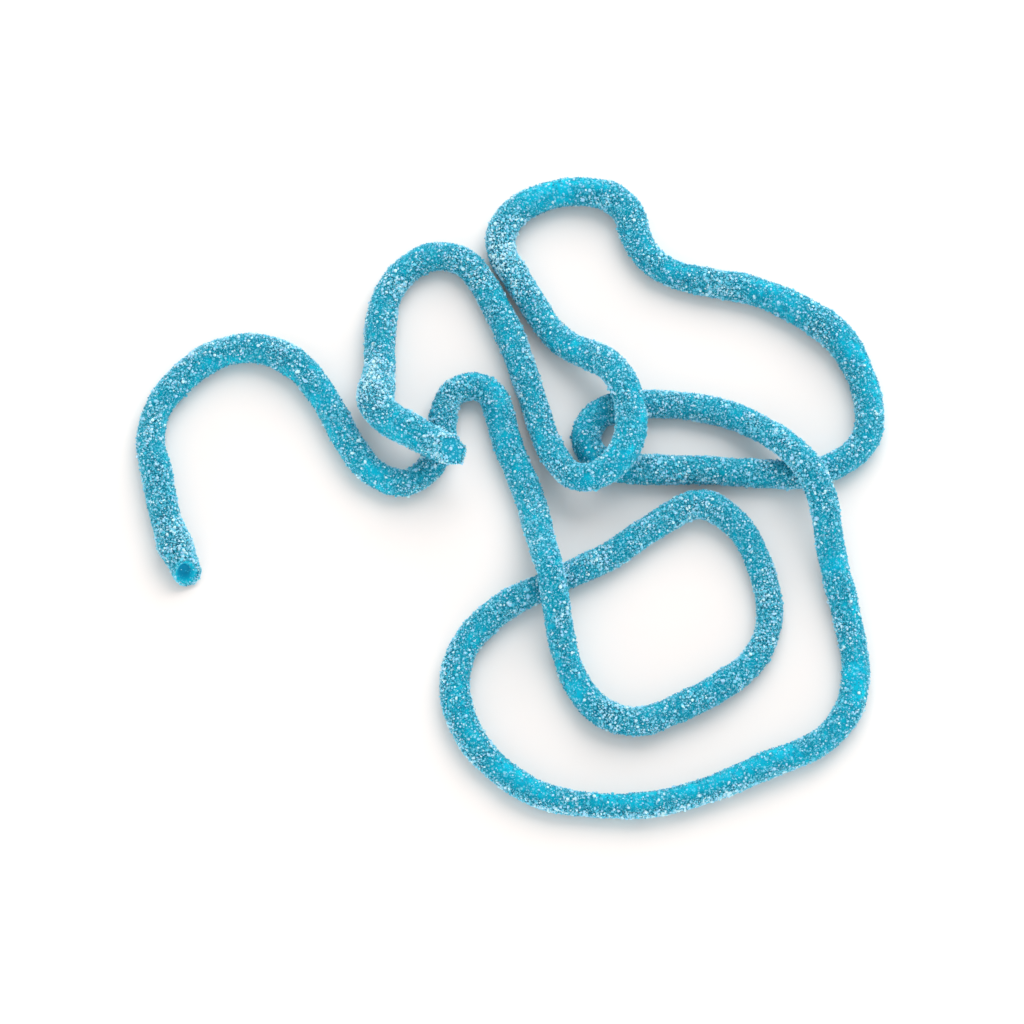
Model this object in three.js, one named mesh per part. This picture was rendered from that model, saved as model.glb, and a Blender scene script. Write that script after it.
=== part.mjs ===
// A sour gummy string: one long soft sweet, round in section and crusted with sour sugar.
// It lies on a table in a loose tangle of its own, where it crosses itself in low humps.
// Lengths are in millimetres, +Z is up, and the origin is on the table under the middle of the tangle.
import * as THREE from "three";
import { mergeVertices } from "three/addons/utils/BufferGeometryUtils.js";

// The string, crust included
const DIAMETER = 5.3;
const RADIUS = DIAMETER / 2;
const SIDES = 12;
const RING_STEP = 2.1;

// How the thickness wanders along the string: share of the radius, wavelength and start angle of each wave
const SWELLS = [
  [0.035, 63, 0.4],
  [0.025, 22, 2.1],
  [0.015, 8.3, 4.0],
];
// How far the section is out of round, and the length over which its long side turns once
const OVAL_SHARE = 0.03;
const OVAL_TURN = 95;

// Swollen and thin places: how far each is from the first end, or from the last end where below zero,
// the share that it adds to the radius and the length over which it fades
const KNOBS = [
  [6, 0.24, 3.2],
  [17, 0.06, 12],
  [31, -0.06, 7],
  [45, 0.05, 25],
  [240, -0.12, 13],
  [370, -0.11, 35],
  [596, 0.15, 12],
  [645, 0.1, 8],
  [668, 0.14, 8],
  [722, 0.1, 12],
  [-35, 0.08, 7],
  [-22, 0.27, 4.5],
  [-10, 0.17, 9],
];

// The first end, squashed open when it was cut: a slanted face with a hollow left of its middle.
// The hollow's profile is given as shares of the radius and of the depth.
const HOLLOW_DEPTH = 0.9;
const HOLLOW_PROFILE = [
  [0, 1],
  [0.35, 0.85],
  [0.6, 0.1],
  [0.9, 0],
];
const HOLLOW_SHIFT = -1.4;
const FIRST_LEAN = 0.6;
// The last end, a clean cut that leans back, so that its six-sided face looks up.
// The middle of each of its sides is a little nearer the axis than a round section of that girth.
const LAST_LEAN = 0.55;
const LAST_EDGE = 0.25;
const CORNER_LENGTH = 3;
const MIDDLE_OF_SIDE = 0.95;
// The length over which the slant of a cut fades along the string
const LEAN_LENGTH = 2;

// The way the string lies, from its hollow first end to its clean cut.
// Each place is x, y and, off the table, how high the string's underside is in string diameters.
const ROUTE = [
  // Arch on the left
  [-59.8, -14.4, 0.1],
  [-62.3, -8.8],
  [-64.2, -3],
  [-65.9, 5.4],
  [-67.1, 11.4],
  [-65.9, 18],
  [-61.7, 23.8],
  [-55.1, 28.8],
  [-47.2, 30],
  [-39.6, 26.2],
  [-34.2, 18.8],
  // Bowl that carries the last end
  [-30.4, 11.4],
  [-26, 5.6],
  [-20.3, 3.3],
  [-15.6, 6],
  [-13.2, 11.4],
  // Band that runs down the middle and over the string's own later pass
  [-12.7, 17.3],
  [-11.2, 21],
  [-7.5, 22.6],
  [-3.9, 21],
  [-2.4, 17.3],
  [-0.8, 11],
  [3.2, 0.5],
  [5.4, -9.5, 0.72],
  [6.9, -15.5, 1.2],
  [8.1, -21.8, 0.75],
  [9.4, -29, 0.15],
  [12.2, -36.5],
  [16.6, -41.5],
  [23, -43.2],
  // Ring on the right
  [31.5, -40.1],
  [38.8, -36],
  [44.6, -30.8],
  [47.3, -23.6],
  [46.2, -14.4],
  [41.8, -5.2],
  [34.8, -0.9],
  [26, -5.4],
  [18, -11],
  [9, -15.5],
  [-1.5, -21],
  // Wide loop along the front
  [-8.6, -28.5],
  [-10.5, -36.4],
  [-8.2, -45.1],
  [-2.8, -51.9],
  [5.2, -57.2],
  [15, -59],
  [25.5, -58.9],
  [35.9, -56.1],
  [46.7, -51.4],
  [56.2, -47.2],
  [61.6, -40.8],
  [63, -33],
  [61.9, -24.4],
  // Arch that rises over the start of the hairpin's way out
  [59.8, -15, 0.1],
  [58.6, -9.4, 0.35],
  [57.9, -4.8, 0.8],
  [56.9, -1, 1.1],
  [54.9, 3.6, 1.2],
  [51.8, 7.8, 1.05],
  [47.6, 12.2, 0.5],
  [42, 16, 0.1],
  [35, 18.2],
  // Hairpin under the hook
  [26, 19],
  [20, 18.4],
  [15.6, 16.4],
  [13.7, 12.3],
  [15.6, 8.2],
  [20, 6.3],
  [26, 5.9],
  [35.5, 5.9],
  [46, 5.2],
  [55, 5.2],
  // Outer arch on the right
  [61.6, 7.8],
  [65.6, 11.9],
  [66.5, 17.5],
  [65.1, 24.3],
  [61, 32],
  [53.8, 37.6],
  [45.4, 41.6],
  [37.4, 43.3],
  [30.6, 45],
  // Small loop at the back
  [26, 48],
  [23.2, 52.6],
  [21.9, 57.4],
  [17.6, 61],
  [10.7, 61.7],
  [4.6, 60],
  [0.2, 57.1],
  [-2, 53],
  [-1.8, 48.9],
  [0.2, 45.3],
  [3.6, 39.6],
  // Hook that lies over the hairpin
  [7, 34],
  [10.4, 30.4, 0.15],
  [14.4, 27.7, 0.5],
  [17.8, 25.2, 0.85],
  [20.6, 20.6, 1.2],
  [22, 15, 1.25],
  [21.8, 10.2, 1.25],
  [19.6, 5.6, 1.25],
  [15.6, 2.7, 1.1],
  [11.4, 3.2, 0.8],
  [8.6, 6.6, 0.5],
  [6.2, 12, 0.15],
  [3.4, 21.5],
  [-0.2, 32],
  // High arch and the last end, propped up on the bowl
  [-2.1, 36.4],
  [-5.2, 42.7],
  [-8.8, 47.3],
  [-14, 48.7],
  [-19.2, 46.4],
  [-23.1, 41.3],
  [-24.5, 35],
  [-24.7, 30],
  [-24.6, 25.9, 0.2],
  [-25.1, 21.5, 0.45],
  [-25.1, 17.3, 0.7],
  [-22.6, 14, 0.9],
  [-17.6, 10.7, 1.12],
  [-14.3, 8.6, 1.25],
  [-11, 6.4, 1.75],
];

// The smooth curve through the places of the route, at the height of the string's underside
function layingCurve() {
  const places = ROUTE.map(([x, y, lift = 0]) => new THREE.Vector3(x, y, lift * DIAMETER));
  const curve = new THREE.CatmullRomCurve3(places, false, "centripetal");
  curve.arcLengthDivisions = 40 * places.length;
  return curve;
}

// A rounded rise and fall, 1 in the middle and fading to nothing past the given length
function bulge(distance, length) {
  return Math.exp(-((distance / length) ** 2));
}

// The radius at a distance along the string, before it goes out of round
function swelledRadius(along, length) {
  let share = 1;
  for (const [height, wavelength, start] of SWELLS) {
    share += height * Math.sin((2 * Math.PI * along) / wavelength + start);
  }
  for (const [from, height, reach] of KNOBS) {
    share += height * bulge(along - (from < 0 ? length + from : from), reach);
  }
  return RADIUS * share;
}

// How far out a six-sided section is at an angle round the string, against a round one of the same girth
function sixSided(around) {
  const sixth = Math.PI / 3;
  const turn = around - Math.PI / SIDES;
  const offMiddle = turn - sixth * Math.round(turn / sixth);
  return MIDDLE_OF_SIDE / Math.cos(offMiddle);
}

// How much further out than round the section is, at an angle round the string
function outOfRound(along, around, length) {
  const oval = OVAL_SHARE * Math.cos(2 * around - (2 * Math.PI * along) / OVAL_TURN);
  const corners = (sixSided(around) - 1) * bulge(length - along, CORNER_LENGTH);
  return 1 + oval + corners;
}

// The string laid out straight along Y: a profile turned round its axis, from the middle of the first
// end's hollow over its rim and along the string to the middle of the last end
function straightString(length) {
  const rings = Math.round(length / RING_STEP);
  const profile = HOLLOW_PROFILE.map(([out, deep]) => new THREE.Vector2(out * RADIUS, deep * HOLLOW_DEPTH));
  for (let ring = 0; ring < rings; ring++) {
    profile.push(new THREE.Vector2(RADIUS, LAST_EDGE + (ring * (length - 2 * LAST_EDGE)) / (rings - 1)));
  }
  profile.push(new THREE.Vector2(RADIUS - LAST_EDGE, length));
  profile.push(new THREE.Vector2(0, length));

  // Half a facet's turn puts a flat facet at the bottom, where the string rests
  const lathe = new THREE.LatheGeometry(profile, SIDES, Math.PI / SIDES);
  lathe.deleteAttribute("normal");
  lathe.deleteAttribute("uv");
  return mergeVertices(lathe, 1e-4);
}

// Bends the straight string along the curve: its X becomes the level side of the string, its Z the upper side
function bend(geometry, curve, length) {
  const restingShare = Math.cos(Math.PI / SIDES);
  const position = geometry.getAttribute("position");
  const vertex = new THREE.Vector3();
  const side = new THREE.Vector3();
  const upper = new THREE.Vector3();
  for (let i = 0; i < position.count; i++) {
    vertex.fromBufferAttribute(position, i);
    const around = Math.atan2(vertex.x, vertex.z);
    const along = THREE.MathUtils.clamp(vertex.y, 0, length);
    const radius = swelledRadius(along, length);
    const scale = (radius / RADIUS) * outOfRound(along, around, length);
    const fromAxis = Math.hypot(vertex.x, vertex.z);
    const shift = HOLLOW_SHIFT * (1 - fromAxis / RADIUS) * bulge(along, HOLLOW_DEPTH);
    const slant = FIRST_LEAN * bulge(along, LEAN_LENGTH) - LAST_LEAN * bulge(length - along, LEAN_LENGTH);

    const direction = curve.getTangentAt(along / length);
    side.set(direction.y, -direction.x, 0).normalize();
    upper.crossVectors(side, direction);
    const place = curve.getPointAt(along / length);
    place.z = Math.max(place.z, 0) + restingShare * radius;
    place.addScaledVector(side, scale * (vertex.x + shift));
    place.addScaledVector(upper, scale * vertex.z);
    place.addScaledVector(direction, vertex.y - along + slant * vertex.z);
    position.setXYZ(i, place.x, place.y, Math.max(place.z, 0));
  }
}

// Sets the middle of the geometry's box over the origin, with its lowest point on the table
function centre(geometry) {
  geometry.computeBoundingBox();
  const { min, max } = geometry.boundingBox;
  geometry.translate(-(min.x + max.x) / 2, -(min.y + max.y) / 2, -min.z);
}

function makeString() {
  const curve = layingCurve();
  const length = curve.getLength();
  const geometry = straightString(length);
  bend(geometry, curve, length);
  centre(geometry);
  geometry.computeVertexNormals();
  const sugaredBlue = new THREE.MeshStandardMaterial({ color: 0x2ba7c9, roughness: 0.6, metalness: 0 });
  const mesh = new THREE.Mesh(geometry, sugaredBlue);
  mesh.name = "gummy_string";
  return mesh;
}

const group = new THREE.Group();
group.add(makeString());

export default group;
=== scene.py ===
"""Looks of a sour gummy string: a clear blue gummy body under a crust of loose sour sugar, on a white table.

Lengths are in metres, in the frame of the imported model. The string is one grid of points: rings along its
route, and sides round it. The sugar is several pieces of joined crystals, scattered by a seeded rule.
"""

import math
from typing import Callable, NamedTuple

import bpy
import numpy as np
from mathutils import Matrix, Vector


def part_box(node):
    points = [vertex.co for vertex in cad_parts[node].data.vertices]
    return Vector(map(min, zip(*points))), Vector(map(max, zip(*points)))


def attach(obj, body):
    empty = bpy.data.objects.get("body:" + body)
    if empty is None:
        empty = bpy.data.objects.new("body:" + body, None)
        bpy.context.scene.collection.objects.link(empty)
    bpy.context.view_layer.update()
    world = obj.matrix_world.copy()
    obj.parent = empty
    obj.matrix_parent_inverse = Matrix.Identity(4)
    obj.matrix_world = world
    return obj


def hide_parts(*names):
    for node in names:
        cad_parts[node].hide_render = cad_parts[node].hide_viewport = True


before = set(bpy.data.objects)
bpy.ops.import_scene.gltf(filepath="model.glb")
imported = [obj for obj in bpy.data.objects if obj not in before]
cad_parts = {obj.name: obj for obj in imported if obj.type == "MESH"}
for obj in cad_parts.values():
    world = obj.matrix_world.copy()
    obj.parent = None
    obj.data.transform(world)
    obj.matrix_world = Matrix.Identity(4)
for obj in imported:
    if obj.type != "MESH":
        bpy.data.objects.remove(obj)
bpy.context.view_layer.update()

# The string's thickness, crust included, and the share of its radius that is gummy body under the crust
DIAMETER = 0.0053
RADIUS = DIAMETER / 2
BODY_SHARE = 0.925

# How the thickness wanders along the string: share of the radius, wavelength and start angle of each wave
SWELLS = [(0.035, 0.063, 0.4), (0.025, 0.022, 2.1), (0.015, 0.0083, 4.0)]
# How far the section is out of round, and the length after which its oval lies as before
OVAL_SHARE = 0.03
OVAL_TURN = 0.095
# Swollen and thin places: distance from the first end, or from the last where below zero, share and reach
KNOBS = [
    (0.006, 0.24, 0.0032), (0.017, 0.06, 0.012), (0.031, -0.06, 0.007),
    (0.045, 0.05, 0.025), (0.24, -0.12, 0.013), (0.37, -0.11, 0.035),
    (0.596, 0.15, 0.012), (0.645, 0.1, 0.008), (0.668, 0.14, 0.008),
    (0.722, 0.1, 0.012), (-0.035, 0.08, 0.007), (-0.022, 0.27, 0.0045),
    (-0.01, 0.17, 0.009),
]

# The first end, squashed open when it was cut: a slanted face with a hollow left of its middle. Its floor is
# level out to one share of the radius, and it ends at the other.
HOLLOW_DEPTH = 0.0009
HOLLOW_SHIFT = -0.0014
HOLLOW_LEVEL = 0.32
HOLLOW_EDGE = 0.8
FIRST_LEAN = 0.6
# The last end, a clean cut that leans back, so that its six-sided face looks up. The middle of each of its
# sides is a little nearer the axis than a round section of that girth.
LAST_LEAN = 0.55
CORNER_LENGTH = 0.003
MIDDLE_OF_SIDE = 0.95
# The length over which the slant of a cut fades along the string
LEAN_LENGTH = 0.002

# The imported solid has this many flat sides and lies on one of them. So its middle is a little lower over
# what it rests on than its radius, and the corners of the last end are turned by half a side.
SOLID_SIDES = 12
HALF_SIDE = math.pi / SOLID_SIDES
RESTING_SHARE = math.cos(HALF_SIDE)

# The way the string lies: x, y and how high its underside is off the table, in string diameters
ROUTE = [
    # Arch on the left
    (-0.0598, -0.0144, 0.1),
    (-0.0623, -0.0088, 0),
    (-0.0642, -0.003, 0),
    (-0.0659, 0.0054, 0),
    (-0.0671, 0.0114, 0),
    (-0.0659, 0.018, 0),
    (-0.0617, 0.0238, 0),
    (-0.0551, 0.0288, 0),
    (-0.0472, 0.03, 0),
    (-0.0396, 0.0262, 0),
    (-0.0342, 0.0188, 0),
    # Bowl that carries the last end
    (-0.0304, 0.0114, 0),
    (-0.026, 0.0056, 0),
    (-0.0203, 0.0033, 0),
    (-0.0156, 0.006, 0),
    (-0.0132, 0.0114, 0),
    # Band that runs down the middle and over the string's own later pass
    (-0.0127, 0.0173, 0),
    (-0.0112, 0.021, 0),
    (-0.0075, 0.0226, 0),
    (-0.0039, 0.021, 0),
    (-0.0024, 0.0173, 0),
    (-0.0008, 0.011, 0),
    (0.0032, 0.0005, 0),
    (0.0054, -0.0095, 0.72),
    (0.0069, -0.0155, 1.2),
    (0.0081, -0.0218, 0.75),
    (0.0094, -0.029, 0.15),
    (0.0122, -0.0365, 0),
    (0.0166, -0.0415, 0),
    (0.023, -0.0432, 0),
    # Ring on the right
    (0.0315, -0.0401, 0),
    (0.0388, -0.036, 0),
    (0.0446, -0.0308, 0),
    (0.0473, -0.0236, 0),
    (0.0462, -0.0144, 0),
    (0.0418, -0.0052, 0),
    (0.0348, -0.0009, 0),
    (0.026, -0.0054, 0),
    (0.018, -0.011, 0),
    (0.009, -0.0155, 0),
    (-0.0015, -0.021, 0),
    # Wide loop along the front
    (-0.0086, -0.0285, 0),
    (-0.0105, -0.0364, 0),
    (-0.0082, -0.0451, 0),
    (-0.0028, -0.0519, 0),
    (0.0052, -0.0572, 0),
    (0.015, -0.059, 0),
    (0.0255, -0.0589, 0),
    (0.0359, -0.0561, 0),
    (0.0467, -0.0514, 0),
    (0.0562, -0.0472, 0),
    (0.0616, -0.0408, 0),
    (0.063, -0.033, 0),
    (0.0619, -0.0244, 0),
    # Arch that rises over the start of the hairpin's way out
    (0.0598, -0.015, 0.1),
    (0.0586, -0.0094, 0.35),
    (0.0579, -0.0048, 0.8),
    (0.0569, -0.001, 1.1),
    (0.0549, 0.0036, 1.2),
    (0.0518, 0.0078, 1.05),
    (0.0476, 0.0122, 0.5),
    (0.042, 0.016, 0.1),
    (0.035, 0.0182, 0),
    # Hairpin under the hook
    (0.026, 0.019, 0),
    (0.02, 0.0184, 0),
    (0.0156, 0.0164, 0),
    (0.0137, 0.0123, 0),
    (0.0156, 0.0082, 0),
    (0.02, 0.0063, 0),
    (0.026, 0.0059, 0),
    (0.0355, 0.0059, 0),
    (0.046, 0.0052, 0),
    (0.055, 0.0052, 0),
    # Outer arch on the right
    (0.0616, 0.0078, 0),
    (0.0656, 0.0119, 0),
    (0.0665, 0.0175, 0),
    (0.0651, 0.0243, 0),
    (0.061, 0.032, 0),
    (0.0538, 0.0376, 0),
    (0.0454, 0.0416, 0),
    (0.0374, 0.0433, 0),
    (0.0306, 0.045, 0),
    # Small loop at the back
    (0.026, 0.048, 0),
    (0.0232, 0.0526, 0),
    (0.0219, 0.0574, 0),
    (0.0176, 0.061, 0),
    (0.0107, 0.0617, 0),
    (0.0046, 0.06, 0),
    (0.0002, 0.0571, 0),
    (-0.002, 0.053, 0),
    (-0.0018, 0.0489, 0),
    (0.0002, 0.0453, 0),
    (0.0036, 0.0396, 0),
    # Hook that lies over the hairpin
    (0.007, 0.034, 0),
    (0.0104, 0.0304, 0.15),
    (0.0144, 0.0277, 0.5),
    (0.0178, 0.0252, 0.85),
    (0.0206, 0.0206, 1.2),
    (0.022, 0.015, 1.25),
    (0.0218, 0.0102, 1.25),
    (0.0196, 0.0056, 1.25),
    (0.0156, 0.0027, 1.1),
    (0.0114, 0.0032, 0.8),
    (0.0086, 0.0066, 0.5),
    (0.0062, 0.012, 0.15),
    (0.0034, 0.0215, 0),
    (-0.0002, 0.032, 0),
    # High arch and the last end, propped up on the bowl
    (-0.0021, 0.0364, 0),
    (-0.0052, 0.0427, 0),
    (-0.0088, 0.0473, 0),
    (-0.014, 0.0487, 0),
    (-0.0192, 0.0464, 0),
    (-0.0231, 0.0413, 0),
    (-0.0245, 0.035, 0),
    (-0.0247, 0.03, 0),
    (-0.0246, 0.0259, 0.2),
    (-0.0251, 0.0215, 0.45),
    (-0.0251, 0.0173, 0.7),
    (-0.0226, 0.014, 0.9),
    (-0.0176, 0.0107, 1.12),
    (-0.0143, 0.0086, 1.25),
    (-0.011, 0.0064, 1.75),
]

# The body's grid: sides round it, the distance between its rings, the rings on each face and on each rim,
# and how round the rims are
SIDES = 48
RING_STEP = 0.00043
FACE_RINGS = 15
RIM_RINGS = 5
RIM_RADIUS = 0.0005

# A ripple is a sum of this many waves, each with a pitch between these two shares of the ripple's own
RIPPLE_WAVES = 48
RIPPLE_PITCHES = (0.75, 1.3)
# The body's fine relief: share of the radius, wavelength and seed of each ripple
RELIEF = [(0.012, 0.0042, 1), (0.008, 0.0018, 2)]
# How high the crumbs of the crust stand on the body, and their seed
CRUMB_HEIGHT = 0.00013
CRUMB_SEED = 31
# The shares of the radius where the bare middle of a cut ends, and where its crusted rim starts
BARE_CUT = 0.74
CRUSTED_RIM = 0.86

# The crust: how thick it is on average and at most, and its random patches, as height, wavelength and seed
USUAL_CRUST = 0.55
THICKEST = 1.5
CRUST_RIPPLES = [(0.2, 0.019, 11), (0.2, 0.006, 12), (0.18, 0.0018, 13)]
# Where the crust is thick or thin besides its random patches: distance along the string, angle round it,
# reach along, reach round and how much is added. The angle is 0 on top and grows towards the right side.
PATCHES = [
    # Neck and cut of the first end, then the left arch: crusted on its outer side, bare on its inner one
    (0.004, 0.0, 0.007, 4.0, 0.4),
    (0.048, -0.8, 0.016, 1.1, 0.35),
    (0.05, 1.5, 0.035, 0.9, -0.55),
    # Bare top and crusted front side of the wide loop
    (0.37, -0.3, 0.042, 0.9, -0.7),
    (0.36, 1.3, 0.026, 0.5, 0.7),
    # Thin crust where the outer arch comes round, the bare top of the small loop and its white left side
    (0.582, 0.0, 0.012, 2.5, -0.35),
    (0.655, 0.2, 0.009, 1.4, -0.5),
    (0.674, 0.0, 0.008, 2.5, 0.65),
    # White knuckle before the last end, the thin crust after it and the white rim of the cut
    (0.825, 0.3, 0.006, 1.8, 1.2),
    (0.838, 0.4, 0.006, 1.5, -0.2),
    (0.8469, 0.0, 0.0012, 4.0, 0.6),
]

# Places drawn for each crystal on the skin, and how far they stay from the very ends
DRAWS = 4
END_MARGIN = 0.0001
# How many fewer crystals stick right under the string, and the angle over which that fades
FEWER_BELOW = 0.6
BELOW_REACH = 0.9
# Crystals on the cuts: how many are drawn as a share of those on the skin, the share of them on the first
# cut, and how far out they sit on a rim, where all of them stay
CUT_SHARE = 0.011
ON_FIRST_CUT = 0.55
RIM_STARTS = 0.84
# The share that stays beside the hollow and how much more on its right, in the hollow, and on the last cut
STAY_BESIDE_HOLLOW = 0.2
MORE_ON_RIGHT = 0.12
STAY_IN_HOLLOW = 0.03
STAY_ON_LAST_CUT = 0.06
# Up to this share of its depth, the hollow's edge counts as the face beside it
SHALLOW = 0.35
# Two clumps on the last cut: share out, angle round, size and tone
CUT_CLUMPS = ((0.06, 0.0, 0.0009, 0.7), (0.66, 1.5, 0.0008, 0.6))

# How the crystals of one kind differ: the powers of the spread of their sizes, which makes small ones
# commoner, how far each is squashed or stretched, and how far its corners are in or out
SIZE_POWERS = (1.3, 2.4)
STRETCH = (0.65, 1.2)
CORNERS_OUT = (0.85, 1.15)
# The power of a crystal's random tone where there is no crust
BARE_TONE_POWER = 1.5
# A crystal is left out if its middle is lower over the table than this share of its size
LOWEST_MIDDLE = 0.25

# Colours, as linear red, green and blue
DARK_GUMMY = (0.001, 0.42, 0.6)
LIGHT_GUMMY = (0.003, 0.57, 0.77)
CUT_GUMMY = (0.01, 0.35, 0.51)
# Painted shade: the gummy is made darker where the crust is thick, as if its grains shade it
GUMMY_SHADED_BY_CRUST = (0.001, 0.17, 0.29)
# Painted shade: the gummy is made darker down in the hollow of the first cut
GUMMY_SHADED_IN_HOLLOW = (0.001, 0.24, 0.42)
SUNK_SUGAR = (0.27, 0.76, 0.92)
FROST = (0.9, 0.96, 1.0)
TABLE_WHITE = (0.95, 0.895, 0.87)
TENT_WHITE = (1.0, 0.995, 0.985)
# The colours of the sugars from their darkest tone, 0, to their lightest, 1
FROSTED_TONES = [
    (0.0, (0.002, 0.28, 0.45)),
    (0.45, (0.02, 0.48, 0.67)),
    (0.8, (0.12, 0.66, 0.86)),
    (1.0, (0.42, 0.83, 0.98)),
]
WHITE_TONES = [
    (0.0, (0.04, 0.52, 0.72)),
    (0.4, (0.16, 0.68, 0.87)),
    (0.7, (0.35, 0.7, 0.96)),
    (1.0, (0.6, 0.94, 1.0)),
]
# Grains sunk in the gummy: how many cells of them fit in a metre, and the share of cells with a grain that
# shows where the skin is bare and where its crust is 1 thick
SUNK_GRAINS = [(4600.0, 0.12, 0.8), (2600.0, 0.1, 0.4), (1500.0, 0.5, 0.25)]
# A sunk grain is whole out to one distance from its middle and gone at the other, both in cells
GRAIN_EDGE = (0.18, 0.5)
# How bright the dullest and the brightest of them are
GRAIN_BRIGHTNESS = (0.35, 1.0)

# Half the width of the table
TABLE_HALF = 1.5
# The white tent's strength level with the table and overhead, and how high up, as the sine of its angle,
# overhead begins
TENT_LOW = 3.0
TENT_OVERHEAD = 0.6
OVERHEAD = 0.5

# The camera looks down at this angle from this far, on AIM, which is a place on the route's own axes. Its
# picture is IMAGE pixels wide, and a pixel is this large on the string. The sensor is in millimetres.
ELEVATION = math.radians(70)
DISTANCE = 1.2
AIM = (0, -0.00236, 0.00242)
IMAGE = 1024
PIXEL = 0.000185
SENSOR = 36


class Route:
    """The smooth line through the places of ROUTE, asked for by distance along it.

    Between two places the line is a cubic whose end slopes come from the places before and after, weighed
    by the square roots of the distances between them (a centripetal Catmull-Rom line)."""

    STEPS_A_SPAN = 60

    def __init__(self, places):
        p = np.array([(x, y, lift * DIAMETER) for x, y, lift in places])
        p = np.vstack([2 * p[0] - p[1], p, 2 * p[-1] - p[-2]])
        gap = np.sqrt(np.linalg.norm(np.diff(p, axis=0), axis=1))[:, None]
        a, b, c, d = p[:-3], p[1:-2], p[2:-1], p[3:]
        before, here, after = gap[:-2], gap[1:-1], gap[2:]
        leave = here * ((b - a) / before - (c - a) / (before + here) + (c - b) / here)
        arrive = here * ((c - b) / here - (d - b) / (here + after) + (d - c) / after)
        self.cubic = np.stack([b, leave, 3 * (c - b) - 2 * leave - arrive, 2 * (b - c) + leave + arrive])
        self.share = np.linspace(0, len(b), len(b) * self.STEPS_A_SPAN + 1)
        points = self.at_share(self.share)[0]
        steps = np.linalg.norm(np.diff(points, axis=0), axis=1)
        self.along = np.concatenate([[0], np.cumsum(steps)])
        self.length = self.along[-1]

    def at_share(self, share):
        """Place and slope of the line where share counts the spans passed."""
        span = np.minimum(share.astype(int), self.cubic.shape[1] - 1)
        w = (share - span)[..., None]
        c0, c1, c2, c3 = self.cubic[:, span]
        return c0 + w * (c1 + w * (c2 + w * c3)), c1 + w * (2 * c2 + 3 * w * c3)

    def at(self, along):
        """Place, direction, level side and upper side of the string at distances along it."""
        place, slope = self.at_share(np.interp(along, self.along, self.share))
        direction = slope / np.linalg.norm(slope, axis=-1, keepdims=True)
        side = np.stack([direction[..., 1], -direction[..., 0], np.zeros_like(along)], -1)
        side /= np.linalg.norm(side, axis=-1, keepdims=True)
        return place, direction, side, np.cross(side, direction)


route = Route(ROUTE)
LENGTH = route.length


def bell(distance, reach):
    """1 at distance 0, and fading past the reach: e to the minus square of distance over reach."""
    return np.exp(-((distance / reach) ** 2))


def swelled_radius(along):
    """RADIUS times 1 plus a sum of sine waves along the string plus the bells of the swollen places."""
    share = 1 + sum(height * np.sin(2 * np.pi * along / wave + start) for height, wave, start in SWELLS)
    for place, height, reach in KNOBS:
        share = share + height * bell(along - (place if place > 0 else LENGTH + place), reach)
    return RADIUS * share


def out_of_round(along, around):
    """1 plus a slow oval wave round the string, plus six flat sides that fade in towards the last end."""
    oval = OVAL_SHARE * np.cos(2 * around - 2 * np.pi * along / OVAL_TURN)
    sixth = np.pi / 3
    turn = around - HALF_SIDE
    off_middle = turn - sixth * np.round(turn / sixth)
    corners = (MIDDLE_OF_SIDE / np.cos(off_middle) - 1) * bell(LENGTH - along, CORNER_LENGTH)
    return 1 + oval + corners


def ripple(along, around, wavelength, seed):
    """Even noise on the string's skin, about -1 to 1: a sum of plane waves of about one length in random
    directions, read at the places of a straight string, so that it closes round the string without a seam."""
    rng = np.random.default_rng(seed)
    heading = rng.normal(size=(RIPPLE_WAVES, 3))
    heading /= np.linalg.norm(heading, axis=1)[:, None]
    heading *= 2 * np.pi / wavelength * rng.uniform(*RIPPLE_PITCHES, (RIPPLE_WAVES, 1))
    start = rng.uniform(0, 2 * np.pi, RIPPLE_WAVES)
    x, z = RADIUS * np.sin(around), RADIUS * np.cos(around)
    total = np.zeros(np.broadcast(along, around).shape)
    for (hx, hy, hz), begin in zip(heading, start):
        total += np.cos(hx * x + hy * along + hz * z + begin)
    return total / math.sqrt(RIPPLE_WAVES)


def rippled(along, around, ripples):
    """The sum of several ripples, each times its height."""
    return sum(height * ripple(along, around, wavelength, seed) for height, wavelength, seed in ripples)


def crust_thickness(along, around):
    """How thick the sugar lies, 0 bare, 1 thick, more where it is caked: the usual thickness, plus random
    patches of three sizes, plus a bell along and round the string for each of PATCHES."""
    thick = USUAL_CRUST + rippled(along, around, CRUST_RIPPLES)
    for place, angle, reach, reach_round, amount in PATCHES:
        turn = np.abs(np.angle(np.exp(1j * (around - angle))))
        thick = thick + amount * bell(along - place, reach) * bell(turn, reach_round)
    return np.clip(thick, 0, THICKEST)


def skin(along, around, out=1.0, proud=0.0):
    """Points of the string's skin: the centre line, plus the radius times the share out, round the string.

    along and around are arrays of one shape; proud moves the points off the skin. Near a cut the points
    slide along the string by the lean times their height, which slants the cut."""
    place, direction, side, upper = route.at(along)
    radius = swelled_radius(along)
    reach = BODY_SHARE * radius * (out_of_round(along, around) + rippled(along, around, RELIEF)) * out + proud
    shift = BODY_SHARE * HOLLOW_SHIFT * (1 - np.minimum(out, 1)) * bell(along, HOLLOW_DEPTH)
    x, z = reach * np.sin(around) + shift, reach * np.cos(around)
    slant = FIRST_LEAN * bell(along, LEAN_LENGTH) - LAST_LEAN * bell(LENGTH - along, LEAN_LENGTH)
    points = place.copy()
    points[..., 2] = np.maximum(points[..., 2], 0) + RESTING_SHARE * radius
    points += x[..., None] * side + z[..., None] * upper + (slant * z)[..., None] * direction
    return points


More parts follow.
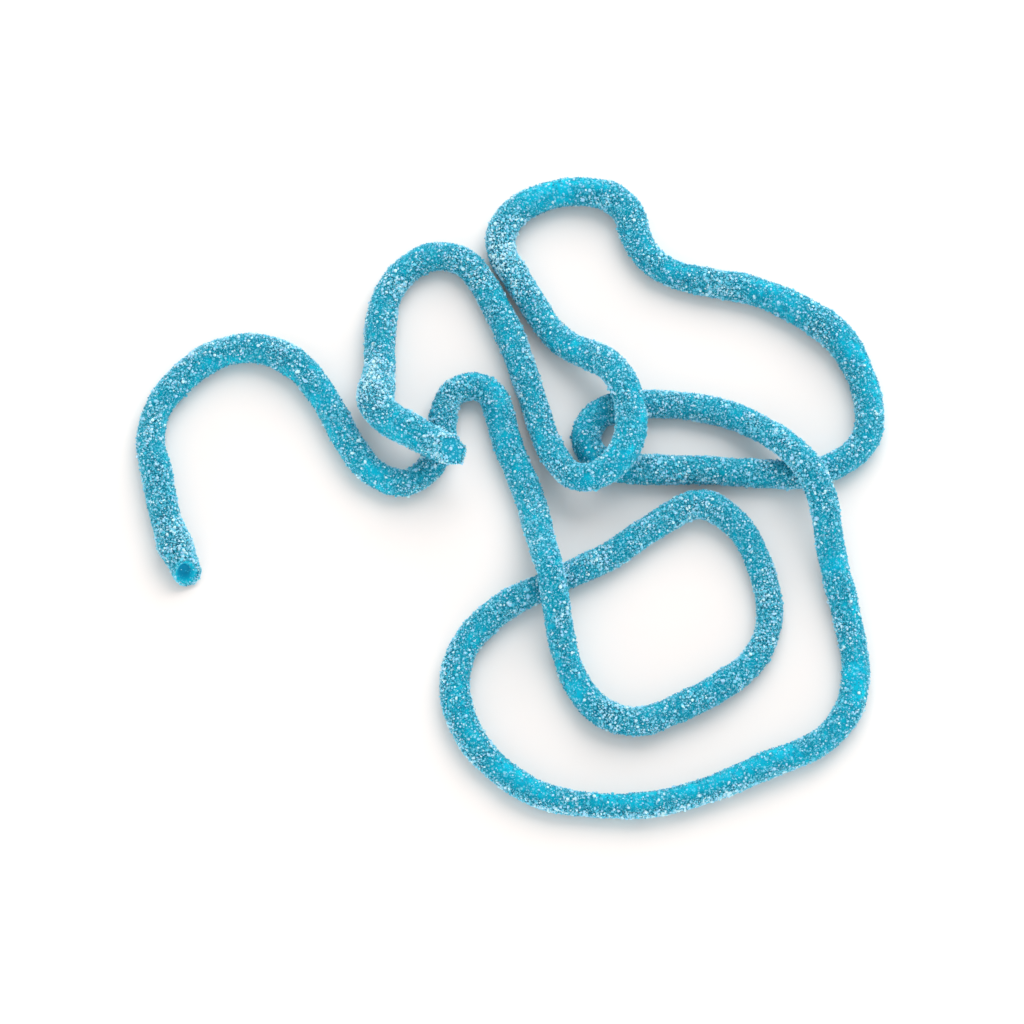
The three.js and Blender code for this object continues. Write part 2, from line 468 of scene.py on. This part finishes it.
def facing_out(along, around, out):
    """Unit directions out of the string: away from its middle line, by the fourth power of the share out,
    and on a slanted cut off the cut too."""
    direction, side, upper = route.at(along)[1:]
    sign = np.where(along < LENGTH / 2, -1, 1)[:, None]
    lean = np.where(along < LENGTH / 2, FIRST_LEAN, LAST_LEAN)[:, None]
    on_cut = (out < 1)[:, None]
    away = np.sin(around)[:, None] * side + np.cos(around)[:, None] * upper
    facing = away * out[:, None] ** 4 + on_cut * (sign * direction + lean * upper)
    return facing / np.linalg.norm(facing, axis=1)[:, None]


def hollow_floor(out):
    """How deep the first face is at a share of the radius: level in the middle, a smooth step, a flat rim."""
    step = np.clip((out - HOLLOW_LEVEL) / (HOLLOW_EDGE - HOLLOW_LEVEL), 0, 1)
    return HOLLOW_DEPTH * (1 - step * step * (3 - 2 * step))


def ring_places():
    """Rings of the body, as distance along and share out: first face from its middle, the side, last face.

    The rims of both faces are quarter rounds."""
    rim = RIM_RADIUS / RADIUS
    quarter = np.linspace(0, np.pi / 2, RIM_RINGS + 2)[1:-1]
    face = np.linspace(0, 1 - rim, FACE_RINGS + 1)[1:]
    side = np.linspace(RIM_RADIUS, LENGTH - RIM_RADIUS, int(LENGTH / RING_STEP))
    turned = np.stack([RIM_RADIUS * (1 - np.cos(quarter)), 1 - rim * (1 - np.sin(quarter))])
    return np.concatenate([
        np.stack([hollow_floor(face), face]),
        turned,
        np.stack([side, np.ones_like(side)]),
        np.stack([LENGTH - turned[0], turned[1]])[:, ::-1],
        np.stack([np.full(FACE_RINGS, LENGTH), face[::-1]]),
    ], axis=1)


def mesh_piece(name, points, faces, smooth=True):
    """A mesh object from an array of points and a list of face arrays, each with one number of corners."""
    mesh = bpy.data.meshes.new(name)
    mesh.vertices.add(len(points))
    mesh.vertices.foreach_set("co", points.astype(np.float32).ravel())
    corners = np.concatenate([f.ravel() for f in faces])
    sizes = np.concatenate([np.full(len(f), f.shape[1]) for f in faces])
    mesh.loops.add(len(corners))
    mesh.loops.foreach_set("vertex_index", corners.astype(np.int32))
    mesh.polygons.add(len(sizes))
    mesh.polygons.foreach_set("loop_start", (np.cumsum(sizes) - sizes).astype(np.int32))
    mesh.polygons.foreach_set("use_smooth", np.full(len(sizes), smooth))
    mesh.update(calc_edges=True)
    piece = bpy.data.objects.new(name, mesh)
    bpy.context.scene.collection.objects.link(piece)
    return piece


def mesh_points(piece):
    """The points of a piece's mesh."""
    points = np.zeros(len(piece.data.vertices) * 3, np.float32)
    piece.data.vertices.foreach_get("co", points)
    return points.reshape(-1, 3).astype(float)


def move_points(piece, move):
    """Moves all points of a piece's mesh."""
    points = mesh_points(piece) + move
    piece.data.vertices.foreach_set("co", points.astype(np.float32).ravel())
    piece.data.update()


def give_numbers(piece, name, values):
    """A number at each point of the piece's mesh, for its material to read."""
    attribute = piece.data.attributes.new(name, "FLOAT", "POINT")
    attribute.data.foreach_set("value", values.astype(np.float32).ravel())


def give_directions(piece, name, values):
    """A direction at each point of the piece's mesh, for its material to read."""
    attribute = piece.data.attributes.new(name, "FLOAT_VECTOR", "POINT")
    attribute.data.foreach_set("vector", values.astype(np.float32).ravel())


def body_faces(rings):
    """Faces between the rings of the body, four-sided, and between its first and last ring and the middles
    of the two cuts, three-sided. The middles are the two points after those of the rings."""
    ring, side = np.meshgrid(np.arange(rings - 1), np.arange(SIDES), indexing="ij")
    after = (side + 1) % SIDES
    here, onward = ring * SIDES, (ring + 1) * SIDES
    quads = np.stack([here + side, onward + side, onward + after, here + after], -1).reshape(-1, 4)
    side = np.arange(SIDES)
    after = (side + 1) % SIDES
    last_ring = (rings - 1) * SIDES
    first_middle = np.full(SIDES, rings * SIDES)
    first = np.stack([first_middle, side, after], -1)
    last = np.stack([last_ring + side, first_middle + 1, last_ring + after], -1)
    return [quads, first, last]


def make_gummy_body():
    """The gummy body: the grid of rings and sides, with a middle point closing each face.

    Each point stands out by a random share of the crumb height where the crust is thick. The points carry
    how thick the crust is, how far they are into the hollow, and whether they are on the clean cut."""
    along, out = ring_places()
    rings = len(out)
    around = np.arange(SIDES) * 2 * np.pi / SIDES
    along, around = np.meshgrid(along, around, indexing="ij")
    near_first = (np.arange(rings) < rings / 2)[:, None]
    inside = np.clip((CRUSTED_RIM - out) / (CRUSTED_RIM - BARE_CUT), 0, 1)[:, None]
    crust = crust_thickness(along, around) * (1 - inside)
    crumbs = CRUMB_HEIGHT * crust * np.random.default_rng(CRUMB_SEED).uniform(size=along.shape)
    points = skin(along, around, out[:, None], crumbs).reshape(-1, 3)
    middles = skin(np.array([HOLLOW_DEPTH, LENGTH]), np.zeros(2), np.zeros(2))
    points = np.vstack([points, middles])
    points[:, 2] = np.maximum(points[:, 2], 0)
    piece = mesh_piece("gummy_body", points, body_faces(rings))

    # How far into the hollow each point is, which sets how much painted shade the material puts there
    deep = near_first * (hollow_floor(np.minimum(out, 1)) / HOLLOW_DEPTH)[:, None] * (inside > 0)
    cut = np.where(near_first, 0, inside)
    for name, values, at_middles in (("crust", crust, (0, 0)), ("deep", deep, (1, 0)), ("cut", cut, (0, 1))):
        give_numbers(piece, name, np.append(np.broadcast_to(values, along.shape).ravel(), at_middles))
    return piece


def centred_on_frame(points):
    """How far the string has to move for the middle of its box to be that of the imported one."""
    low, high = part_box("gummy_string")
    middle = (points.min(0) + points.max(0)) / 2
    return np.array([(low.x + high.x) / 2 - middle[0], (low.y + high.y) / 2 - middle[1], 0])


# Shapes of a crystal, about one across: points and triangles
def powder_grain():
    """Four triangles: every other corner of a cube 0.9 across."""
    half = 0.45
    points = np.array([(1, 1, 1), (1, -1, -1), (-1, 1, -1), (-1, -1, 1)]) * half
    return points, np.array([(0, 1, 2), (0, 3, 1), (0, 2, 3), (1, 3, 2)])


def pointed_grain():
    """Eight triangles: two four-sided points, base to base, 1.2 from tip to tip."""
    reach = 0.6
    points = np.array([(1, 0, 0), (0, 1, 0), (-1, 0, 0), (0, -1, 0), (0, 0, 1), (0, 0, -1)]) * reach
    triangles = [(0, 1, 4), (1, 2, 4), (2, 3, 4), (3, 0, 4), (1, 0, 5), (2, 1, 5), (3, 2, 5), (0, 3, 5)]
    return points, np.array(triangles)


def block_grain():
    """A block with six flat sides, each two triangles: a cube 0.9 across."""
    half = 0.45
    points = np.array([(x, y, z) for x in (-1, 1) for y in (-1, 1) for z in (-1, 1)]) * half
    squares = [(0, 1, 3, 2), (4, 6, 7, 5), (0, 4, 5, 1), (2, 3, 7, 6), (0, 2, 6, 4), (1, 5, 7, 3)]
    return points, np.array([t for a, b, c, d in squares for t in ((a, b, c), (a, c, d))])


def clump():
    """Twenty triangles: the corners of three crossed golden rectangles 0.56 wide."""
    half = 0.28
    g = (1 + math.sqrt(5)) / 2
    points = np.array([(-1, g, 0), (1, g, 0), (-1, -g, 0), (1, -g, 0), (0, -1, g), (0, 1, g), (0, -1, -g),
                       (0, 1, -g), (g, 0, -1), (g, 0, 1), (-g, 0, -1), (-g, 0, 1)]) * half
    triangles = [(0, 11, 5), (0, 5, 1), (0, 1, 7), (0, 7, 10), (0, 10, 11), (1, 5, 9), (5, 11, 4),
                 (11, 10, 2), (10, 7, 6), (7, 1, 8), (3, 9, 4), (3, 4, 2), (3, 2, 6), (3, 6, 8),
                 (3, 8, 9), (4, 9, 5), (2, 4, 11), (6, 2, 10), (8, 6, 7), (9, 8, 1)]
    return points, np.array(triangles)


class Sugar(NamedTuple):
    """One kind of sugar crystal.

    The smallest and largest size are in metres. A place on the skin has a chance of on_bare plus the
    thickness of the crust to the power crust_power. A crystal's middle is up to rise sizes over the skin."""

    name: str
    grain: Callable
    count: int
    smallest: float
    largest: float
    seed: int
    on_bare: float
    crust_power: float
    rise: float
    on_last_cut: tuple = ()


def random_turns(rng, count):
    """Evenly spread random rotation matrices, from random unit quaternions."""
    q = rng.normal(size=(count, 4))
    w, x, y, z = (q / np.linalg.norm(q, axis=1)[:, None]).T
    return np.stack([
        np.stack([1 - 2 * (y * y + z * z), 2 * (x * y - z * w), 2 * (x * z + y * w)], -1),
        np.stack([2 * (x * y + z * w), 1 - 2 * (x * x + z * z), 2 * (y * z - x * w)], -1),
        np.stack([2 * (x * z - y * w), 2 * (y * z + x * w), 1 - 2 * (x * x + y * y)], -1),
    ], 1)


def places_on_skin(rng, kind):
    """Seeded places on the skin, as distance along, angle round and share out.

    A few times as many places are drawn evenly, and those with the luckiest draw for their chance are kept:
    the chance grows with the crust as the kind of sugar says, and is less under the string."""
    drawn = DRAWS * kind.count
    along = rng.uniform(END_MARGIN, LENGTH - END_MARGIN, drawn)
    around = rng.uniform(-np.pi, np.pi, drawn)
    chance = kind.on_bare + crust_thickness(along, around) ** kind.crust_power
    chance *= 1 - FEWER_BELOW * bell(np.pi - np.abs(around), BELOW_REACH)
    luck = rng.uniform(size=drawn) ** (1 / chance)
    kept = np.argsort(-luck)[:kind.count]
    return along[kept], around[kept], np.ones(kind.count)


def places_on_cuts(rng, kind):
    """Seeded places on the two cuts: all of those drawn on both rims, some beside the hollow of the first
    one, most on its right, and few inside the hollow and on the last one."""
    drawn = int(CUT_SHARE * kind.count)
    out = np.sqrt(rng.uniform(0, 1, drawn))
    around = rng.uniform(-np.pi, np.pi, drawn)
    on_first = rng.uniform(size=drawn) < ON_FIRST_CUT
    beside_hollow = STAY_BESIDE_HOLLOW + MORE_ON_RIGHT * np.sin(around)
    on_first_cut = np.where(hollow_floor(out) < SHALLOW * HOLLOW_DEPTH, beside_hollow, STAY_IN_HOLLOW)
    chance = np.where(on_first, on_first_cut, STAY_ON_LAST_CUT)
    chance = np.where(out > RIM_STARTS, 1, chance)
    kept = rng.uniform(size=drawn) < chance
    along = np.where(on_first, hollow_floor(out), LENGTH)
    return along[kept], around[kept], out[kept]


def make_sugar(kind):
    """One kind of sugar: crystals of sizes between its smallest and largest, each turned at random, squashed
    and set on the skin, half the height of the crumbs up and then up to rise sizes more.

    A crystal's tone is a random number to a power that falls as the crust grows, which makes it lighter
    where the crust is thick. Clumps on the last cut have a place, a size and a tone of their own."""
    rng = np.random.default_rng(kind.seed)
    on_skin = places_on_skin(rng, kind)
    on_cuts = places_on_cuts(rng, kind)
    along, around, out = (np.concatenate(pair) for pair in zip(on_skin, on_cuts))
    size = kind.smallest + (kind.largest - kind.smallest) * rng.beta(*SIZE_POWERS, len(along))
    for share_out, angle, clump_size, _ in kind.on_last_cut:
        along, around = np.append(along, LENGTH), np.append(around, angle)
        out, size = np.append(out, share_out), np.append(size, clump_size)
    count = len(along)
    crust = crust_thickness(along, around)
    rise = 0.5 * CRUMB_HEIGHT * crust + kind.rise * size * rng.uniform(size=count)
    middles = skin(along, around, out, rise)
    outward = facing_out(along, around, out)
    corners, triangles = kind.grain()
    stretch = rng.uniform(*STRETCH, (count, 1, 3)) * rng.uniform(*CORNERS_OUT, (count, len(corners), 1))
    crystals = corners[None] * stretch * size[:, None, None]
    crystals = np.einsum("nij,nvj->nvi", random_turns(rng, count), crystals)
    crystals += middles[:, None]
    crystals[..., 2] = np.maximum(crystals[..., 2], 0)
    tone = rng.uniform(size=count) ** (BARE_TONE_POWER - crust)
    tone[count - len(kind.on_last_cut):] = [clump_tone for _, _, _, clump_tone in kind.on_last_cut]

    above = middles[:, 2] > LOWEST_MIDDLE * size
    crystals, tone, outward = crystals[above], tone[above], outward[above]
    first_corners = len(corners) * np.arange(len(crystals))
    faces = (triangles[None] + first_corners[:, None, None]).reshape(-1, 3)
    piece = mesh_piece(kind.name, crystals.reshape(-1, 3), [faces], smooth=False)
    give_numbers(piece, "tone", np.repeat(tone, len(corners)))
    give_directions(piece, "outward", np.repeat(outward, len(corners), axis=0))
    return piece


def new_material(name):
    """A material with one Principled shader, and its tree and shader."""
    material = bpy.data.materials.new(name)
    material.use_nodes = True
    tree = material.node_tree
    return material, tree, tree.nodes["Principled BSDF"]


def set_inputs(node, inputs):
    """Gives each input of a node a value, or links another node's output to it."""
    for socket, value in inputs.items():
        if isinstance(value, bpy.types.NodeSocket):
            node.id_data.links.new(value, node.inputs[socket])
        else:
            node.inputs[socket].default_value = value


def add_node(tree, kind, inputs, **settings):
    """A node of one kind, with its settings and its inputs."""
    node = tree.nodes.new("ShaderNode" + kind)
    for name, value in settings.items():
        setattr(node, name, value)
    set_inputs(node, inputs)
    return node


def opaque(colour):
    """The colour with the fourth number that a socket wants."""
    return (*colour, 1)


def mixed(tree, share, low, high):
    """The colour that goes from low to high with the share, each a node's output or a colour."""
    return add_node(tree, "Mix", {0: share, 6: low, 7: high}, data_type="RGBA").outputs[2]


def carried(tree, name):
    """The node that reads a number or a direction that the mesh's points carry."""
    return add_node(tree, "Attribute", {}, attribute_name=name)


def sunk_grains(tree, place, crust, cells_a_metre, on_bare, on_crust):
    """Grains sunk in the gummy: a round dot in each cell, where a random number is below a share that goes
    from on_bare to on_crust with the crust. Each dot has a random brightness."""
    cells = add_node(tree, "TexVoronoi", {"Vector": place, "Scale": cells_a_metre})
    whole, gone = GRAIN_EDGE
    dot = add_node(tree, "MapRange", {"Value": cells.outputs["Distance"], "From Min": whole, "From Max": gone,
                                      "To Min": 1.0, "To Max": 0.0}, interpolation_type="SMOOTHSTEP")
    share = add_node(tree, "MapRange", {"Value": crust, "To Min": on_bare, "To Max": on_crust})
    draws = add_node(tree, "SeparateColor", {"Color": cells.outputs["Color"]})
    shows = add_node(tree, "Math", {0: draws.outputs["Red"], 1: share.outputs["Result"]},
                     operation="LESS_THAN")
    dullest, brightest = GRAIN_BRIGHTNESS
    bright = add_node(tree, "MapRange", {"Value": draws.outputs["Green"], "To Min": dullest,
                                         "To Max": brightest})
    seen = add_node(tree, "Math", {0: dot.outputs["Result"], 1: shows.outputs["Value"]}, operation="MULTIPLY")
    return add_node(tree, "Math", {0: seen.outputs["Value"], 1: bright.outputs["Result"]},
                    operation="MULTIPLY").outputs["Value"]


def frost(weight):
    """The shader inputs of a pale sheen, as many small clear crystals give that are seen edge on."""
    return {"Sheen Weight": weight, "Sheen Roughness": 0.3, "Sheen Tint": opaque(FROST)}


def gummy_material():
    """Clear turquoise gummy with sunk grains of three sizes where the crust is; painted shade makes it darker
    under the crust and in the hollow.
    """
    material, tree, shader = new_material("clear_blue_gummy")
    place = add_node(tree, "TexCoord", {}).outputs["Object"]
    crust = carried(tree, "crust").outputs["Fac"]
    deep = carried(tree, "deep").outputs["Fac"]
    cut = carried(tree, "cut").outputs["Fac"]
    layers = [sunk_grains(tree, place, crust, *layer) for layer in SUNK_GRAINS]
    sunk = layers[0]
    for layer in layers[1:]:
        sunk = add_node(tree, "Math", {0: sunk, 1: layer}, operation="MAXIMUM").outputs["Value"]

    blotches = add_node(tree, "TexNoise", {"Vector": place, "Scale": 700.0, "Detail": 3.0})
    colour = mixed(tree, blotches.outputs["Fac"], opaque(DARK_GUMMY), opaque(LIGHT_GUMMY))
    colour = mixed(tree, cut, colour, opaque(CUT_GUMMY))
    # Painted shade under the crust: the thicker the crust, the darker the gummy between its grains
    colour = mixed(tree, crust, colour, opaque(GUMMY_SHADED_BY_CRUST))
    colour = mixed(tree, sunk, colour, opaque(SUNK_SUGAR))
    # Painted shade in the hollow, darkest at its floor
    colour = mixed(tree, deep, colour, opaque(GUMMY_SHADED_IN_HOLLOW))
    bump = add_node(tree, "Bump", {"Strength": 0.7, "Distance": 0.0001, "Height": sunk})
    set_inputs(shader, {
        "Base Color": colour,
        "Normal": bump.outputs["Normal"],
        "Subsurface Weight": 0.9,
        "Subsurface Radius": (0.15, 1.0, 1.2),
        "Subsurface Scale": 0.0026,
        "Roughness": 0.45,
        "Specular IOR Level": 0.05,
        **frost(0.12),
    })
    return material


def sugar_material(name, tones, roughness, gloss):
    """Sugar whose colour runs through the tones, pairs of a tone and its colour, by the crystal's own tone.

    Its sides are lit half as they face and half as the string's skin under them does."""
    material, tree, shader = new_material(name)
    facing = add_node(tree, "NewGeometry", {}).outputs["Normal"]
    outward = carried(tree, "outward").outputs["Vector"]
    both = add_node(tree, "VectorMath", {0: outward, 1: facing}, operation="ADD")
    unit = add_node(tree, "VectorMath", {0: both.outputs["Vector"]}, operation="NORMALIZE")
    ramp = add_node(tree, "ValToRGB", {"Fac": carried(tree, "tone").outputs["Fac"]})
    stops = ramp.color_ramp.elements
    stops.remove(stops[1])
    stops[0].position = tones[0][0]
    stops[0].color = opaque(tones[0][1])
    for tone, colour in tones[1:]:
        stops.new(tone).color = opaque(colour)
    set_inputs(shader, {
        "Base Color": ramp.outputs["Color"],
        "Normal": unit.outputs["Vector"],
        "Roughness": roughness,
        "Specular IOR Level": gloss,
        **frost(1.0),
    })
    return material


def dress(piece, material):
    """Gives a piece its material and its place in the frame."""
    piece.data.materials.append(material)
    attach(piece, "root")


def make_table():
    """A table far wider than the string, in a slightly warm white, as the shadows on it are."""
    half = TABLE_HALF
    corners = np.array([(-half, -half, 0), (half, -half, 0), (half, half, 0), (-half, half, 0)])
    table = mesh_piece("table", corners, [np.array([[0, 1, 2, 3]])], smooth=False)
    material, _, shader = new_material("white_table")
    set_inputs(shader, {"Base Color": opaque(TABLE_WHITE), "Roughness": 0.9, "Specular IOR Level": 0.1})
    table.data.materials.append(material)


def make_light(name, watts, size, place):
    """A square soft white light that looks at the middle of the string."""
    lamp = bpy.data.lights.new(name, "AREA")
    lamp.energy = watts
    lamp.size = size
    holder = bpy.data.objects.new(name, lamp)
    holder.location = place
    holder.rotation_euler = (-Vector(place)).to_track_quat("-Z", "Y").to_euler()
    bpy.context.scene.collection.objects.link(holder)


def make_studio():
    """A white tent all round, brightest low down, a light from the back right and a weak one in front."""
    world = bpy.data.worlds.new("studio")
    world.use_nodes = True
    tree = world.node_tree
    looked_at = add_node(tree, "TexCoord", {}).outputs["Generated"]
    height = add_node(tree, "SeparateXYZ", {"Vector": looked_at}).outputs["Z"]
    strength = add_node(tree, "MapRange", {"Value": height, "From Max": OVERHEAD, "To Min": TENT_LOW,
                                           "To Max": TENT_OVERHEAD}, interpolation_type="SMOOTHSTEP")
    tent = tree.nodes["Background"]
    set_inputs(tent, {"Color": opaque(TENT_WHITE), "Strength": strength.outputs["Result"]})
    bpy.context.scene.world = world
    make_light("window", watts=5.6, size=0.8, place=(0.2, 0.55, 0.62))
    make_light("fill", watts=2.0, size=1.0, place=(-0.1, -0.9, 0.35))
    bpy.context.scene.view_settings.view_transform = "Standard"


def make_camera(move):
    """The photo's camera: a long lens that looks down along +Y, on AIM moved as the string is."""
    camera = bpy.data.cameras.new("camera")
    camera.sensor_width = SENSOR
    camera.lens = SENSOR * DISTANCE / (IMAGE * PIXEL)
    camera.clip_start = 0.01
    camera.clip_end = 20
    holder = bpy.data.objects.new("camera", camera)
    back = Vector((0, -math.cos(ELEVATION), math.sin(ELEVATION)))
    holder.location = Vector(AIM) + Vector(move) + DISTANCE * back
    holder.rotation_euler = (-back).to_track_quat("-Z", "Y").to_euler()
    bpy.context.scene.collection.objects.link(holder)
    bpy.context.scene.camera = holder


# The sugar that is sifted on, and the larger crystals that stick out of it
SIFTED_SUGARS = [
    Sugar("acid_powder", powder_grain, count=49000, smallest=0.00018, largest=0.00036, seed=21,
          on_bare=0.35, crust_power=0.9, rise=0.3),
    Sugar("fine_powder", powder_grain, count=49000, smallest=0.00018, largest=0.0004, seed=25,
          on_bare=0.3, crust_power=1.0, rise=0.5),
    Sugar("fine_sugar", pointed_grain, count=24500, smallest=0.00018, largest=0.00036, seed=22,
          on_bare=0.4, crust_power=1.0, rise=0.5),
]
LARGE_SUGARS = [
    Sugar("block_sugar", block_grain, count=16400, smallest=0.0002, largest=0.00044, seed=23,
          on_bare=0.15, crust_power=1.4, rise=0.5),
    Sugar("sugar_clumps", clump, count=8200, smallest=0.00025, largest=0.0008, seed=24,
          on_bare=0.16, crust_power=1.6, rise=0.3, on_last_cut=CUT_CLUMPS),
]

make_table()
make_studio()

body = make_gummy_body()
move = centred_on_frame(mesh_points(body))
make_camera(move)

sifted = [make_sugar(kind) for kind in SIFTED_SUGARS]
large = [make_sugar(kind) for kind in LARGE_SUGARS]
for piece in [body, *sifted, *large]:
    move_points(piece, move)

dress(body, gummy_material())
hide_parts("gummy_string")
frosted_sugar = sugar_material("frosted_sugar", FROSTED_TONES, roughness=0.5, gloss=0.15)
white_sugar = sugar_material("white_sugar", WHITE_TONES, roughness=0.4, gloss=0.3)
for piece in sifted:
    dress(piece, frosted_sugar)
for piece in large:
    dress(piece, white_sugar)
